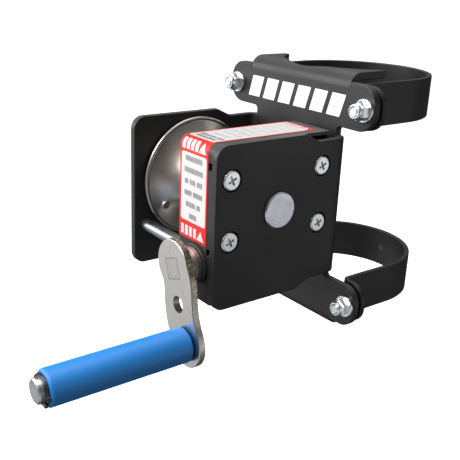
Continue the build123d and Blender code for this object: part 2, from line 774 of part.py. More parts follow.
def make_worm_shaft():
    """Worm cut in one bar with its journals and the square end for the crank."""
    front = drum_y - worm_half_length
    rear = drum_y + worm_half_length
    root = cyl_y(worm_pitch_radius - dedendum, front - 2, rear + 2, worm_x, worm_z)
    front_bar = cyl_y(worm_front_journal, arm_back, front - 2, worm_x, worm_z)
    rear_bar = cyl_y(worm_rear_journal, rear + 2, housing_rear + 4.2, worm_x, worm_z)
    thread = Pos(worm_x, drum_y, worm_z) * Rot(90, 0, 0) * Rot(0, 0, worm_phase) * worm_thread()
    shaft = root + thread + front_bar + rear_bar
    square = Rot(0, -arm_lean, 0) * Box(square_side, arm_thickness + 1, square_side)
    shaft += Pos(worm_x, arm_back - 0.5 * arm_thickness + 0.5, worm_z) * square
    ring_y = housing_rear + 1.3
    groove = cyl_y(worm_rear_journal + 1, ring_y, ring_y + ring_thickness + 0.1, worm_x, worm_z)
    groove -= cyl_y(worm_rear_journal - 0.6, ring_y - 1, ring_y + 3, worm_x, worm_z)
    return shaft - groove


def make_worm_washers():
    """Thrust washers in front of and behind the worm, and one behind the housing."""
    washers = []
    wall_front = housing_rear - housing_sheet
    places = [
        (housing_front + 10.2, 1.6, worm_front_journal, 11.0),
        (wall_front - 4.2 - 1.6, 1.6, worm_rear_journal, 10.0),
        (housing_rear + 0.3, 0.9, worm_rear_journal, 9.5),
    ]
    for y, thickness, bore, outer in places:
        disc = cyl_y(outer, y, y + thickness, worm_x, worm_z)
        washers.append(disc - cyl_y(bore, y - 1, y + thickness + 1, worm_x, worm_z))
    return Compound(children=washers)


def make_worm_ring():
    """Retaining ring on the worm shaft's rear end."""
    middle = housing_rear + 1.35 + 0.5 * ring_thickness
    ring = retaining_ring(worm_rear_journal - 0.5, worm_rear_journal + 2.0, ring_thickness)
    return Pos(worm_x, middle, worm_z) * Rot(-90, 0, 0) * Rot(0, 0, 90) * ring


def make_collar():
    """Turned collar between the housing's bush and the crank arm."""
    back = housing_front - front_bush_flange - 0.2
    rear_disc = cyl_y(collar_radius, back - 3.6, back, worm_x, worm_z)
    rear_disc = fillet(rear_disc.edges(), 0.4)
    neck = cyl_y(collar_neck_radius, back - 5.2, back - 1, worm_x, worm_z)
    front_disc = cyl_y(collar_front_radius, arm_back, back - 5.0, worm_x, worm_z)
    front_disc = fillet(front_disc.edges(), 0.4)
    collar = rear_disc + neck + front_disc
    return collar - cyl_y(worm_front_journal, arm_back - 1, back + 1, worm_x, worm_z)


def along_arm(distance):
    """X and Z of a point down the arm from the crank shaft."""
    lean = radians(arm_lean)
    return (worm_x + distance * sin(lean), worm_z - distance * cos(lean))


def arm_side(side):
    """One long side of the arm, from its upper round end to its lower one."""
    start = (side * arm_top_half_width, arm_top_rise)
    end = (side * arm_bottom_half_width, -pin_distance)
    middle_half_width = 0.5 * (arm_top_half_width + arm_bottom_half_width)
    between = [(sway + side * middle_half_width, -distance) for distance, sway in arm_sway]
    return Spline(start, *between, end, tangents=((0, -1), (0, -1)))


def arm_outline():
    """Arm seen from the front, drawn straight down: two round ends and two swaying sides."""
    right = arm_side(1)
    left = arm_side(-1)
    top_height = arm_top_rise + arm_top_half_width
    top = ThreePointArc(left @ 0, (0, top_height), right @ 0)
    bottom = ThreePointArc(right @ 1, (0, -pin_distance - arm_bottom_half_width), left @ 1)
    return make_face([right, bottom, left, top])


def make_arm():
    """Flat steel crank arm with a square hole, a spare hole and the grip pin's hole."""
    arm = extrude(front_plane(arm_back) * arm_outline(), arm_thickness)
    rims = arm.faces().filter_by(Axis.Y).edges()
    arm = fillet(rims, arm_edge_round)
    hole = square_side + 2 * square_clearance
    arm -= Pos(0, arm_back - 0.5 * arm_thickness, 0) * Box(hole, arm_thickness + 2, hole)
    arm -= cyl_y(spare_hole_radius, arm_front - 1, arm_back + 1, spare_hole_sway, -spare_hole_distance)
    arm -= cyl_y(pin_rivet_radius, arm_front - 1, arm_back + 1, 0, -pin_distance)
    return Pos(worm_x, 0, worm_z) * Rot(0, -arm_lean, 0) * arm


def make_grip_pin():
    """Pin that the grip turns on, riveted through the arm."""
    x, z = along_arm(pin_distance)
    bar = cyl_y(pin_radius, pin_end, arm_front, x, z)
    bar = chamfer(bar.edges().group_by(Axis.Y)[0], 0.8)
    rivet = cyl_y(pin_rivet_radius, arm_front - 1, arm_back + 0.3, x, z)
    groove = cyl_y(pin_radius + 1, ring_low_y() - 0.05, ring_low_y() + ring_thickness + 0.05, x, z)
    groove -= cyl_y(pin_radius - 0.8, ring_low_y() - 1, ring_low_y() + 3, x, z)
    return bar + rivet - groove


def ring_low_y():
    """Outer face of the grip's retaining ring."""
    return grip_inner_end - grip_length - 0.3 - ring_thickness


def make_grip_ring():
    """Retaining ring that keeps the grip on its pin."""
    x, z = along_arm(pin_distance)
    ring = retaining_ring(pin_radius - 0.7, pin_radius + 1.5, ring_thickness)
    return Pos(x, ring_low_y() + 0.5 * ring_thickness, z) * Rot(90, 0, 0) * Rot(0, 0, -35) * ring


def make_grip():
    """Plastic tube grip with rounded ends."""
    x, z = along_arm(pin_distance)
    tube = cyl_y(grip_radius, grip_inner_end - grip_length, grip_inner_end, x, z)
    tube = fillet(tube.edges(), grip_end_round)
    return tube - cyl_y(grip_bore_radius, grip_inner_end - grip_length - 1, grip_inner_end + 1, x, z)


parts = {
    "bracket": make_bracket,
    "gear_housing": make_housing,
    "housing_posts": make_posts,
    "plate_screws": make_plate_screws,
    "label": make_label,
    "tie_rod": make_tie_rod,
    "tie_rod_screws": make_tie_screws,
    "free_side_bush": make_free_side_bush,
    "housing_bush": make_housing_bush,
    "worm_front_bush": make_worm_front_bush,
    "worm_rear_bush": make_worm_rear_bush,
    "clamp_washers": make_clamp_washers,
    "clamp_nuts": make_clamp_nuts,
    "upper_band": lambda: make_band(band_level),
    "upper_band_bolts": lambda: make_bolts(band_level),
    "upper_band_rivet": lambda: make_rivet(band_level),
    "lower_band": lambda: make_band(-band_level),
    "lower_band_bolts": lambda: make_bolts(-band_level),
    "lower_band_rivet": lambda: make_rivet(-band_level),
    "drum": make_drum,
    "drum_shaft": make_drum_shaft,
    "drum_pin": make_drum_pin,
    "rope_anchor_screw": make_anchor_screw,
    "worm_wheel": make_worm_wheel,
    "wheel_key": key_block,
    "shaft_spacers": make_shaft_spacers,
    "shaft_washer": make_shaft_washer,
    "shaft_retaining_ring": make_shaft_ring,
    "worm_shaft": make_worm_shaft,
    "worm_washers": make_worm_washers,
    "worm_retaining_ring": make_worm_ring,
    "crank_collar": make_collar,
    "crank_arm": make_arm,
    "grip_pin": make_grip_pin,
    "grip_retaining_ring": make_grip_ring,
    "grip": make_grip,
}

os.makedirs("parts", exist_ok=True)
for node, make in parts.items():
    export_step(make(), f"parts/{node}.step")
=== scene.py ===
import json
import math

import bmesh
import bpy
from mathutils import Matrix, Vector


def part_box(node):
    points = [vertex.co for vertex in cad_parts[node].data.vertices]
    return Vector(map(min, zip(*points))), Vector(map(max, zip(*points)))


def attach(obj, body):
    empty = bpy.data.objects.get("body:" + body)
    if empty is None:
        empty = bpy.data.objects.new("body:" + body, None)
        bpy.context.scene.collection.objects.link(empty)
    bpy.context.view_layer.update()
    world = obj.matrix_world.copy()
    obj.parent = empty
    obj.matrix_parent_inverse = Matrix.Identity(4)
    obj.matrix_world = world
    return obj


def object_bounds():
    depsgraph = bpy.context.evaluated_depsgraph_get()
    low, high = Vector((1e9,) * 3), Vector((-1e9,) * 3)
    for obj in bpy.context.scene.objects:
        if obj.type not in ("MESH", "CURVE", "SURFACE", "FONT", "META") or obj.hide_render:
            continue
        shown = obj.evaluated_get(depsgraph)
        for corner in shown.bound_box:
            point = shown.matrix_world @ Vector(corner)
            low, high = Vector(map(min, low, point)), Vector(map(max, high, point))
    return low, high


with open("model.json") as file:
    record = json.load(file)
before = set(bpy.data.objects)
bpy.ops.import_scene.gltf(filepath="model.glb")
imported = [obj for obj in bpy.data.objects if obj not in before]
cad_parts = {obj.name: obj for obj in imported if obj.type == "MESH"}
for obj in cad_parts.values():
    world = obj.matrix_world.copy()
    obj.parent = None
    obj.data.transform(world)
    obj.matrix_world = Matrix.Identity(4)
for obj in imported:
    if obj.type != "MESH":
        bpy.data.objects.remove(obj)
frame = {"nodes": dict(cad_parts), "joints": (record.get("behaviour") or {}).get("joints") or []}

cad_low, cad_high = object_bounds()
nodes = frame["nodes"]
joints = {joint["name"]: joint for joint in frame["joints"]}
MM = 0.001

# ------------------------------------------------------------------ places taken from the frame
drum_axis = Vector(joints["drum_spin"]["pos_m"])
crank_axis = Vector(joints["crank_spin"]["pos_m"])
grip_axis = Vector(joints["grip_spin"]["pos_m"])
label_low, label_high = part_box("label")
ear_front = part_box("clamp_washers")[1].y


# ------------------------------------------------------------------ material graphs
class Graph:
    """A material's node graph, with short calls for the nodes that the materials share."""

    def __init__(self, name):
        self.material = bpy.data.materials.new(name)
        self.material.use_nodes = True
        self.tree = self.material.node_tree
        self.shader = self.tree.nodes["Principled BSDF"]
        coordinates = self.node("ShaderNodeTexCoord")
        self.place = coordinates.outputs["Object"]
        self.facing = coordinates.outputs["Normal"]

    def node(self, kind, **settings):
        made = self.tree.nodes.new(kind)
        for key, value in settings.items():
            setattr(made, key, value)
        return made

    def feed(self, socket, value):
        if isinstance(value, bpy.types.NodeSocket):
            self.tree.links.new(value, socket)
        else:
            socket.default_value = value

    def set(self, **values):
        for key, value in values.items():
            self.feed(self.shader.inputs[key.replace("_", " ")], value)

    def math(self, operation, first, second=0.0):
        made = self.node("ShaderNodeMath", operation=operation)
        self.feed(made.inputs[0], first)
        self.feed(made.inputs[1], second)
        return made.outputs[0]

    def fit(self, value, low, high, out_low=0.0, out_high=1.0):
        """Value mapped from low..high onto out_low..out_high, and held within it."""
        made = self.node("ShaderNodeMapRange")
        for index, entry in enumerate((value, low, high, out_low, out_high)):
            self.feed(made.inputs[index], entry)
        return made.outputs[0]

    def mix(self, factor, first, second):
        made = self.node("ShaderNodeMix", data_type="RGBA")
        self.feed(made.inputs[0], factor)
        self.feed(made.inputs[6], first)
        self.feed(made.inputs[7], second)
        return made.outputs[2]

    def noise(self, scale, detail=4.0, roughness=0.5, place=None):
        made = self.node("ShaderNodeTexNoise")
        self.feed(made.inputs["Vector"], place or self.place)
        self.feed(made.inputs["Scale"], scale)
        self.feed(made.inputs["Detail"], detail)
        self.feed(made.inputs["Roughness"], roughness)
        return made.outputs["Fac"]

    def stretched(self, scale, turn=(0, 0, 0)):
        """Object coordinates turned, then scaled unevenly, for grain that runs one way."""
        turned = self.node("ShaderNodeMapping")
        self.feed(turned.inputs["Vector"], self.place)
        self.feed(turned.inputs["Rotation"], turn)
        scaled = self.node("ShaderNodeMapping")
        self.feed(scaled.inputs["Vector"], turned.outputs[0])
        self.feed(scaled.inputs["Scale"], scale)
        return scaled.outputs[0]

    def lathe(self, axis, centre):
        """Coordinates (along the axis, away from the axis, 0), for marks left by turning."""
        moved = self.node("ShaderNodeVectorMath", operation="SUBTRACT")
        self.feed(moved.inputs[0], self.place)
        self.feed(moved.inputs[1], centre)
        split = self.node("ShaderNodeSeparateXYZ")
        self.feed(split.inputs[0], moved.outputs[0])
        across = [index for index in range(3) if index != axis]
        squares = [self.math("POWER", self.math("ABSOLUTE", split.outputs[i]), 2.0) for i in across]
        radius = self.math("SQRT", self.math("ADD", squares[0], squares[1]))
        joined = self.node("ShaderNodeCombineXYZ")
        self.feed(joined.inputs[0], split.outputs[axis])
        self.feed(joined.inputs[1], radius)
        return joined.outputs[0]

    def edges(self, radius, low=0.02, high=0.25):
        """1 on outer and inner edges narrower than the radius, 0 on open faces."""
        rounded = self.node("ShaderNodeBevel", samples=6)
        self.feed(rounded.inputs["Radius"], radius)
        flat = self.node("ShaderNodeNewGeometry")
        dot = self.node("ShaderNodeVectorMath", operation="DOT_PRODUCT")
        self.feed(dot.inputs[0], rounded.outputs[0])
        self.feed(dot.inputs[1], flat.outputs["Normal"])
        return self.fit(self.math("SUBTRACT", 1.0, dot.outputs["Value"]), low, high)

    def bump(self, height, distance, strength=1.0, below=None):
        made = self.node("ShaderNodeBump")
        self.feed(made.inputs["Strength"], strength)
        self.feed(made.inputs["Distance"], distance)
        self.feed(made.inputs["Height"], height)
        if below:
            self.feed(made.inputs["Normal"], below)
        return made.outputs[0]


def grey(level):
    """Neutral colour of one level."""
    return (level, level, level, 1.0)


def powder_coat(name, dark, light, edge_wear_and_highlight_colour, dust_and_top_light_colour):
    """Satin powder coat: fine orange peel, dust and painted top light on the upward faces, and paler,
    smoother edges from wear and painted edge highlight.
    """
    g = Graph(name)
    split = g.node("ShaderNodeSeparateXYZ")
    g.feed(split.inputs[0], g.facing)
    upward = g.fit(split.outputs[2], 0.5, 1.0)
    # Upward faces paled in patches towards a light grey: dust and painted top light.
    dust_and_top_light_mask = g.math("MULTIPLY", upward, g.fit(g.noise(60.0, 5.0), 0.2, 0.7, 0.5))
    broad = g.noise(28.0, 3.0)
    peel = g.noise(1500.0, 2.0)
    specks = g.fit(g.noise(2600.0, 1.0), 0.72, 0.80)
    # Edges paled in patches: edge wear and painted edge highlight.
    rub_and_edge_highlight = g.math("MULTIPLY", g.edges(0.9 * MM), g.fit(g.noise(160.0, 5.0), 0.30, 0.65))
    colour = g.mix(broad, dark, light)
    colour = g.mix(g.math("MULTIPLY", specks, 0.25), colour, grey(0.16))
    colour = g.mix(dust_and_top_light_mask, colour, dust_and_top_light_colour)
    colour = g.mix(g.math("MULTIPLY", rub_and_edge_highlight, 0.55), colour, edge_wear_and_highlight_colour)
    rough = g.fit(broad, 0.3, 0.7, 0.40, 0.50)
    rough = g.math("SUBTRACT", rough, g.math("MULTIPLY", rub_and_edge_highlight, 0.10))
    g.set(Base_Color=colour, Roughness=rough, Normal=g.bump(peel, 0.025 * MM, 0.6))
    g.shader.inputs["Specular IOR Level"].default_value = 0.35
    return g.material


def zinc_plate(name, dark, light, gloss):
    """Bright zinc plating: a cool tint, cloudy gloss, small handling marks and a painted highlight on
    the edges.
    """
    g = Graph(name)
    cloud = g.noise(220.0, 4.0)
    marks = g.noise(1.0, 3.0, place=g.stretched((900.0, 300.0, 500.0)))
    colour = g.mix(cloud, dark, light)
    # Edges mixed towards near-white: painted edge highlight.
    colour = g.mix(g.math("MULTIPLY", g.edges(0.4 * MM), 0.4), colour, grey(0.90))
    rough = g.fit(cloud, 0.3, 0.7, gloss, gloss + 0.12)
    g.set(Base_Color=colour, Metallic=1.0, Roughness=rough, Normal=g.bump(marks, 0.006 * MM, 0.4))
    return g.material


def turned_steel(name, axis, centre, tint, gloss=0.28, mark=0.02, rings_per_m=9000.0):
    """Steel from a lathe: fine rings round its axis, with slight stains."""
    g = Graph(name)
    rings = g.noise(rings_per_m, 2.0, place=g.lathe(axis, centre))
    coarse = g.noise(1400.0, 3.0, place=g.lathe(axis, centre))
    stain = g.noise(130.0, 5.0)
    dull = tuple(0.80 * value for value in tint[:3]) + (1.0,)
    colour = g.mix(g.fit(stain, 0.35, 0.65), dull, tint)
    colour = g.mix(g.math("MULTIPLY", g.fit(coarse, 0.4, 0.6), 0.25), colour, grey(0.75))
    rough = g.fit(coarse, 0.3, 0.7, gloss - 0.05, gloss + 0.08)
    marks = g.bump(rings, mark * MM, 0.7, g.bump(stain, 0.02 * MM, 0.3))
    g.set(Base_Color=colour, Metallic=1.0, Roughness=rough, Normal=marks)
    return g.material


def spun_steel(name, axis, centre):
    """Polished spun sheet of the drum: soft circular lines and warm patches, from stains and painted
    brownish reflection.
    """
    g = Graph(name)
    lines = g.noise(5200.0, 2.0, place=g.lathe(axis, centre))
    stain = g.noise(45.0, 5.0, 0.6)
    # Grey to warm brown in patches: stains and painted brownish reflection.
    colour = g.mix(g.fit(stain, 0.38, 0.66), (0.44, 0.43, 0.41, 1.0), (0.39, 0.34, 0.28, 1.0))
    rough = g.fit(stain, 0.35, 0.65, 0.28, 0.40)
    g.set(Base_Color=colour, Metallic=1.0, Roughness=rough, Normal=g.bump(lines, 0.010 * MM, 0.5))
    return g.material


def brushed_plate(name, lean, pale_reflection_level, dark_reflection_level):
    """Steel flat bar: brushed faces, and pitted sheared edges painted dark brown near the shaft and
    pale towards the grip, as painted reflection.
    """
    g = Graph(name)
    along = g.stretched((5200.0, 900.0, 160.0), (0.0, lean, 0.0))
    brush = g.noise(1.0, 4.0, place=along)
    shear = g.noise(1.0, 3.0, place=g.stretched((1200.0, 160.0, 1200.0)))
    split = g.node("ShaderNodeSeparateXYZ")
    g.feed(split.inputs[0], g.facing)
    face = g.fit(g.math("ABSOLUTE", split.outputs[1]), 0.5, 0.9)
    cloud = g.noise(70.0, 3.0)
    colour = g.mix(g.fit(brush, 0.3, 0.7), (0.45, 0.44, 0.42, 1.0), (0.66, 0.65, 0.63, 1.0))
    pitting = g.math("MULTIPLY", g.fit(g.noise(900.0, 4.0, 0.7), 0.35, 0.62), g.fit(shear, 0.30, 0.60))
    heights = g.node("ShaderNodeSeparateXYZ")
    g.feed(heights.inputs[0], g.place)
    # Sheared edges darker towards the shaft and paler towards the grip: painted reflection over real
    # pitting.
    painted_reflection_by_height = g.fit(heights.outputs[2], pale_reflection_level, dark_reflection_level, 0.25, 1.0)
    pitted_dark_reflection_colour = g.mix(pitting, (0.10, 0.080, 0.062, 1.0), (0.60, 0.53, 0.45, 1.0))
    edge_colour = g.mix(painted_reflection_by_height, (0.62, 0.61, 0.59, 1.0), pitted_dark_reflection_colour)
    rough = g.math("ADD", g.fit(cloud, 0.3, 0.7, 0.20, 0.27), g.fit(face, 0.0, 1.0, 0.14, 0.0))
    height = g.mix(face, pitting, brush)
    g.set(Base_Color=g.mix(face, edge_colour, colour), Metallic=1.0, Roughness=rough)
    g.set(Normal=g.bump(height, 0.02 * MM, 0.8))
    return g.material


def plain_metal(name, dark, light, gloss):
    """Small steel or bronze piece with uneven tone and fine pitting."""
    g = Graph(name)
    tone = g.noise(300.0, 4.0)
    pits = g.noise(2200.0, 2.0)
    rough = g.fit(tone, 0.3, 0.7, gloss - 0.05, gloss + 0.08)
    g.set(Base_Color=g.mix(tone, dark, light), Metallic=1.0, Roughness=rough)
    g.set(Normal=g.bump(pits, 0.015 * MM, 0.6))
    return g.material


def moulded(name, dark, light, gloss, flow=(300.0, 40.0, 300.0), peel=0.012):
    """Moulded plastic: faint flow lines, fine surface texture and paler edges from rubbing and painted
    edge highlight.
    """
    g = Graph(name)
    streaks = g.noise(1.0, 4.0, place=g.stretched(flow))
    texture = g.noise(2400.0, 2.0)
    # Edges paled: rubbing and painted edge highlight.
    rub_and_edge_highlight = g.math("MULTIPLY", g.edges(1.2 * MM, 0.01, 0.2), 0.30)
    pale = tuple(min(1.0, 1.5 * value + 0.03) for value in light[:3]) + (1.0,)
    colour = g.mix(rub_and_edge_highlight, g.mix(streaks, dark, light), pale)
    rough = g.fit(streaks, 0.3, 0.7, gloss - 0.04, gloss + 0.06)
    g.set(Base_Color=colour, Roughness=rough, Normal=g.bump(texture, peel * MM, 0.6))
    return g.material


def printed(name, dark, light, gloss=0.34):
    """Screen-printed ink on vinyl or paint, with slightly uneven cover."""
    g = Graph(name)
    cover = g.noise(420.0, 4.0)
    film = g.noise(1800.0, 2.0)
    rough = g.fit(cover, 0.3, 0.7, gloss - 0.04, gloss + 0.06)
    g.set(Base_Color=g.mix(cover, dark, light), Roughness=rough, Normal=g.bump(film, 0.008 * MM, 0.5))
    g.shader.inputs["Specular IOR Level"].default_value = 0.30
    return g.material


def floor_paint(name):
    """Pale matt studio floor with a slight light of its own."""
    g = Graph(name)
    cloud = g.noise(3.0, 3.0)
    colour = g.mix(cloud, grey(0.90), grey(0.94))
    rough = g.fit(cloud, 0.3, 0.7, 0.75, 0.90)
    g.set(Base_Color=colour, Roughness=rough, Normal=g.bump(g.noise(500.0), 0.05 * MM, 0.3))
    g.shader.inputs["Emission Color"].default_value = grey(1.0)
    g.shader.inputs["Emission Strength"].default_value = 0.62
    return g.material


# ------------------------------------------------------------------ finishes of the CAD nodes
arm_lean = math.atan2(grip_axis.x - crank_axis.x, crank_axis.z - grip_axis.z)
black_coat = powder_coat("black_coat", grey(0.011), grey(0.016), grey(0.050), grey(0.060))
band_coat = powder_coat("band_coat", grey(0.007), grey(0.011), grey(0.035), grey(0.045))
zinc = zinc_plate("zinc", (0.58, 0.63, 0.66, 1.0), (0.78, 0.81, 0.83, 1.0), 0.24)
# Darker copy of the zinc plating for the tie rod: painted shade.
rod_zinc_painted_shade = zinc_plate("rod_zinc_painted_shade", (0.20, 0.22, 0.24, 1.0), (0.30, 0.32, 0.34, 1.0), 0.26)
shaft_steel = turned_steel("shaft_steel", 0, drum_axis, (0.50, 0.55, 0.60, 1.0))
crank_steel = turned_steel("crank_steel", 1, crank_axis, (0.50, 0.49, 0.47, 1.0), 0.24)
collar_steel = turned_steel("collar_steel", 1, crank_axis, (0.64, 0.59, 0.53, 1.0), 0.38, 0.20, 1600.0)
pin_steel = turned_steel("pin_steel", 1, grip_axis, (0.44, 0.46, 0.49, 1.0))
drum_steel = spun_steel("drum_steel", 0, drum_axis)
arm_steel = brushed_plate("arm_steel", arm_lean, grip_axis.z, crank_axis.z)
spring_steel = plain_metal("spring_steel", grey(0.05), grey(0.11), 0.38)
bronze = plain_metal("bronze", (0.42, 0.27, 0.12, 1.0), (0.60, 0.42, 0.22, 1.0), 0.36)
black_plastic = moulded("black_plastic", grey(0.016), grey(0.028), 0.42)
blue_plastic = moulded("blue_plastic", (0.006, 0.160, 0.47, 1.0), (0.008, 0.185, 0.55, 1.0), 0.46)
label_red = printed("label_red", (0.50, 0.010, 0.006, 1.0), (0.60, 0.016, 0.010, 1.0), 0.50)
label_white = printed("label_white", grey(0.48), grey(0.56), 0.50)
# Darker copy of the label's white for its top panel: painted shade.
label_white_painted_shade = printed("label_white_painted_shade", grey(0.42), grey(0.52), 0.50)
label_grey = printed("label_grey", grey(0.030), grey(0.055))
label_faint = printed("label_faint", grey(0.34), grey(0.46))
ear_white = printed("ear_white", grey(0.82), grey(0.90), 0.42)

finishes = {
    black_coat: ["bracket", "gear_housing"],
    band_coat: ["upper_band", "lower_band"],
    zinc: [
        "plate_screws", "tie_rod_screws", "clamp_washers", "clamp_nuts",
        "upper_band_bolts", "lower_band_bolts",
        "rope_anchor_screw", "shaft_washer", "worm_washers", "housing_posts",
    ],
    rod_zinc_painted_shade: ["tie_rod"],
    shaft_steel: ["drum_shaft", "drum_pin", "wheel_key", "shaft_spacers"],
    crank_steel: ["worm_shaft"],
    collar_steel: ["crank_collar"],
    pin_steel: ["grip_pin"],
    drum_steel: ["drum"],
    arm_steel: ["crank_arm"],
    spring_steel: [
        "shaft_retaining_ring", "worm_retaining_ring", "grip_retaining_ring",
        "upper_band_rivet", "lower_band_rivet",
    ],
    bronze: ["free_side_bush", "housing_bush", "worm_rear_bush", "worm_wheel"],
    black_plastic: ["worm_front_bush"],
    blue_plastic: ["grip"],
    label_red: ["label"],
}
for material, names in finishes.items():
    for node_name in names:
        for material_slot in nodes[node_name].material_slots:
            material_slot.material = material


# ------------------------------------------------------------------ printed marks
INK = 0.03 * MM
FOLD_RADIUS = 5.7 * MM
FOLD_STEPS = 9
PANEL_CORNER = 1.6 * MM
# Upright strokes in pairs: the stroke, the gap inside a pair, between pairs and between words.
STROKE = 0.46 * MM
STROKE_GAP = 0.34 * MM
PAIR_GAP = 0.46 * MM
WORD_GAP = 1.7 * MM
# Heading: blocks from the left margin, then a triangle whose tip is set from the right edge.
HEADING_BLOCKS = 4
HEADING_MARGIN = 1.9 * MM
BLOCK_WIDTH = 2.7 * MM
BLOCK_PITCH = 3.9 * MM
TRIANGLE_MARGIN = 5.2 * MM
TRIANGLE_HALF = 3.3 * MM
# The label unrolled: x across it, and s up its front, round the fold and back along its top.
front_length = label_high.z - FOLD_RADIUS - label_low.z
fold_length = 0.5 * math.pi * FOLD_RADIUS
fold_end = front_length + fold_length
label_length = fold_end + (label_high.y - label_low.y - FOLD_RADIUS)


def on_label(x, s, lift):
    """Point of the unrolled label, folded over the housing's top edge and lifted off its skin."""
    if s <= front_length:
        return Vector((x, label_low.y - lift, label_low.z + s))
    if s >= fold_end:
        return Vector((x, label_low.y + FOLD_RADIUS + s - fold_end, label_high.z + lift))
    turn = (s - front_length) / FOLD_RADIUS
    reach = FOLD_RADIUS + lift
    y = label_low.y + FOLD_RADIUS - reach * math.cos(turn)
    z = label_high.z - FOLD_RADIUS + reach * math.sin(turn)
    return Vector((x, y, z))


def on_ear(x, z, lift):
    """Point on the front of the bracket's ears."""
    return Vector((x, ear_front - lift, z))


def print_marks(name, outlines, place, thickness, material, cuts=()):
    """Thin closed plates of ink, drawn flat and then laid on a surface."""
    build = bmesh.new()
    for outline in outlines:
        build.faces.new([build.verts.new((a, b, 0)) for a, b in outline])
    for cut in cuts:
        everything = build.verts[:] + build.edges[:] + build.faces[:]
        bmesh.ops.bisect_plane(build, geom=everything, plane_co=(0, cut, 0), plane_no=(0, 1, 0))
    raised = bmesh.ops.extrude_face_region(build, geom=build.faces[:], use_keep_orig=True)
    for vertex in raised["geom"]:
        if isinstance(vertex, bmesh.types.BMVert):
            vertex.co.z = thickness
    for vertex in build.verts:
        vertex.co = place(*vertex.co)
    bmesh.ops.recalc_face_normals(build, faces=build.faces)
    mesh = bpy.data.meshes.new(name)
    build.to_mesh(mesh)
    build.free()
    mesh.materials.append(material)
    piece = bpy.data.objects.new(name, mesh)
    bpy.context.scene.collection.objects.link(piece)
    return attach(piece, "frame")


def print_label(name, outlines, thickness, material):
    """Ink on the label, cut into narrow strips where the label folds."""
    cuts = [front_length + fold_length * step / FOLD_STEPS for step in range(FOLD_STEPS + 1)]
    return print_marks(name, outlines, on_label, thickness, material, cuts)


def rounded_box(left, right, low, high, radius, steps=6):
    """Corner-rounded rectangle as a list of points, anticlockwise."""
    points = []
    corners = ((right, high, 0), (left, high, 90), (left, low, 180), (right, low, 270))
    for x, y, start in corners:
        cx = x - radius if x == right else x + radius
        cy = y - radius if y == high else y + radius
        for step in range(steps + 1):
            angle = math.radians(start + 90 * step / steps)
            points.append((cx + radius * math.cos(angle), cy + radius * math.sin(angle)))
    return points


def box_points(left, right, low, high):
    """Rectangle as a list of points, anticlockwise."""
    return [(left, low), (right, low), (right, high), (left, high)]


def stroke_rows(words, left, right, low, high, height):
    """Centred rows of upright strokes in pairs, where the label has its lines of words."""
    unit = 2 * STROKE + STROKE_GAP
    pitch = (high - low) / len(words)
    marks = []
    for row, counts in enumerate(words):
        middle = high - pitch * (row + 0.5)
        foot, top = middle - 0.5 * height, middle + 0.5 * height
        word_gaps = (len(counts) - 1) * (WORD_GAP - PAIR_GAP)
        width = sum(counts) * (unit + PAIR_GAP) - PAIR_GAP + word_gaps
        x = 0.5 * (left + right) - 0.5 * width
        for count in counts:
            for _ in range(count):
                for start in (x, x + STROKE + STROKE_GAP):
                    marks.append(box_points(start, start + STROKE, foot, top))
                x += unit + PAIR_GAP
            x += WORD_GAP - PAIR_GAP
    return marks


def heading(low, high):
    """Four upright blocks and a plain triangle, as white marks on a red band."""
    shapes = []
    for index in range(HEADING_BLOCKS):
        left = label_low.x + HEADING_MARGIN + index * BLOCK_PITCH
        shapes.append(box_points(left, left + BLOCK_WIDTH, low, high))
    tip = label_high.x - TRIANGLE_MARGIN
    shapes.append([(tip - TRIANGLE_HALF, low), (tip + TRIANGLE_HALF, low), (tip, high)])
    return shapes


panel_left = label_low.x + 1.4 * MM
panel_right = label_high.x - 1.2 * MM
front_panel = (9.9 * MM, 48.0 * MM)
top_panel = (fold_end - 1.4 * MM, label_length - 5.0 * MM)
front_outline = rounded_box(panel_left, panel_right, *front_panel, PANEL_CORNER)
top_outline = rounded_box(panel_left, panel_right, *top_panel, PANEL_CORNER)
print_label("label_front_panel", [front_outline], INK, label_white)
print_label("label_top_panel", [top_outline], INK, label_white_painted_shade)
front_words = ((9,), (10,), (2, 3, 3), (4, 5), (5, 2), (4,))
front_lines = stroke_rows(front_words, panel_left, panel_right, *front_panel, 2.9 * MM)
print_label("label_front_lines", front_lines, 2 * INK, label_grey)
bold_row = (top_panel[0] + 1.0 * MM, top_panel[0] + 9.0 * MM)
bold_lines = stroke_rows(((8, 3), (10,)), panel_left, panel_right, *bold_row, 2.6 * MM)
print_label("label_top_bold_lines", bold_lines, 2 * INK, label_grey)
faint_words = ((7, 3), (5, 5), (9,), (4, 6), (10,), (3, 6), (5, 4), (8,))
faint_rows = (top_panel[0] + 10.0 * MM, top_panel[1] - 2.0 * MM)
faint_lines = stroke_rows(faint_words, panel_left, panel_right, *faint_rows, 2.2 * MM)
print_label("label_top_faint_lines", faint_lines, 2 * INK, label_faint)
headings = (
    heading(1.6 * MM, 7.2 * MM)
    + heading(front_length - 1.0 * MM, front_length + 5.2 * MM)
    + heading(label_length - 4.3 * MM, label_length - 0.7 * MM)
)
print_label("label_headings", headings, INK, label_white)


# ------------------------------------------------------------------ white bars on the upper ear
def slanted_bars(count, left, right, low, high, lean, fill):
    """Row of leaning bars that each fill a share of their pitch."""
    pitch = (right - left - lean) / count
    shapes = []
    for index in range(count):
        start = left + index * pitch
        end = start + fill * pitch
        shapes.append([(start, low), (end, low), (end + lean, high), (start + lean, high)])
    return shapes


row_half_length = 45.0 * MM
row_low, row_high = 52.0 * MM, 65.0 * MM
ear_bars = slanted_bars(
    6, -row_half_length, row_half_length, row_low, row_high, lean=4.0 * MM, fill=0.74
)
print_marks("ear_print", ear_bars, on_ear, INK, ear_white)

# ------------------------------------------------------------------ floor, light and camera
# Direction, sharpness and strength of each soft glow of the studio.
STUDIO_GLOWS = (
    ((-0.75, -0.65, 0.0), 3.0, 1.3),
    ((0.0, -0.1, 1.0), 2.0, 0.55),
    ((0.75, 0.60, -0.30), 6.0, 0.30),
)
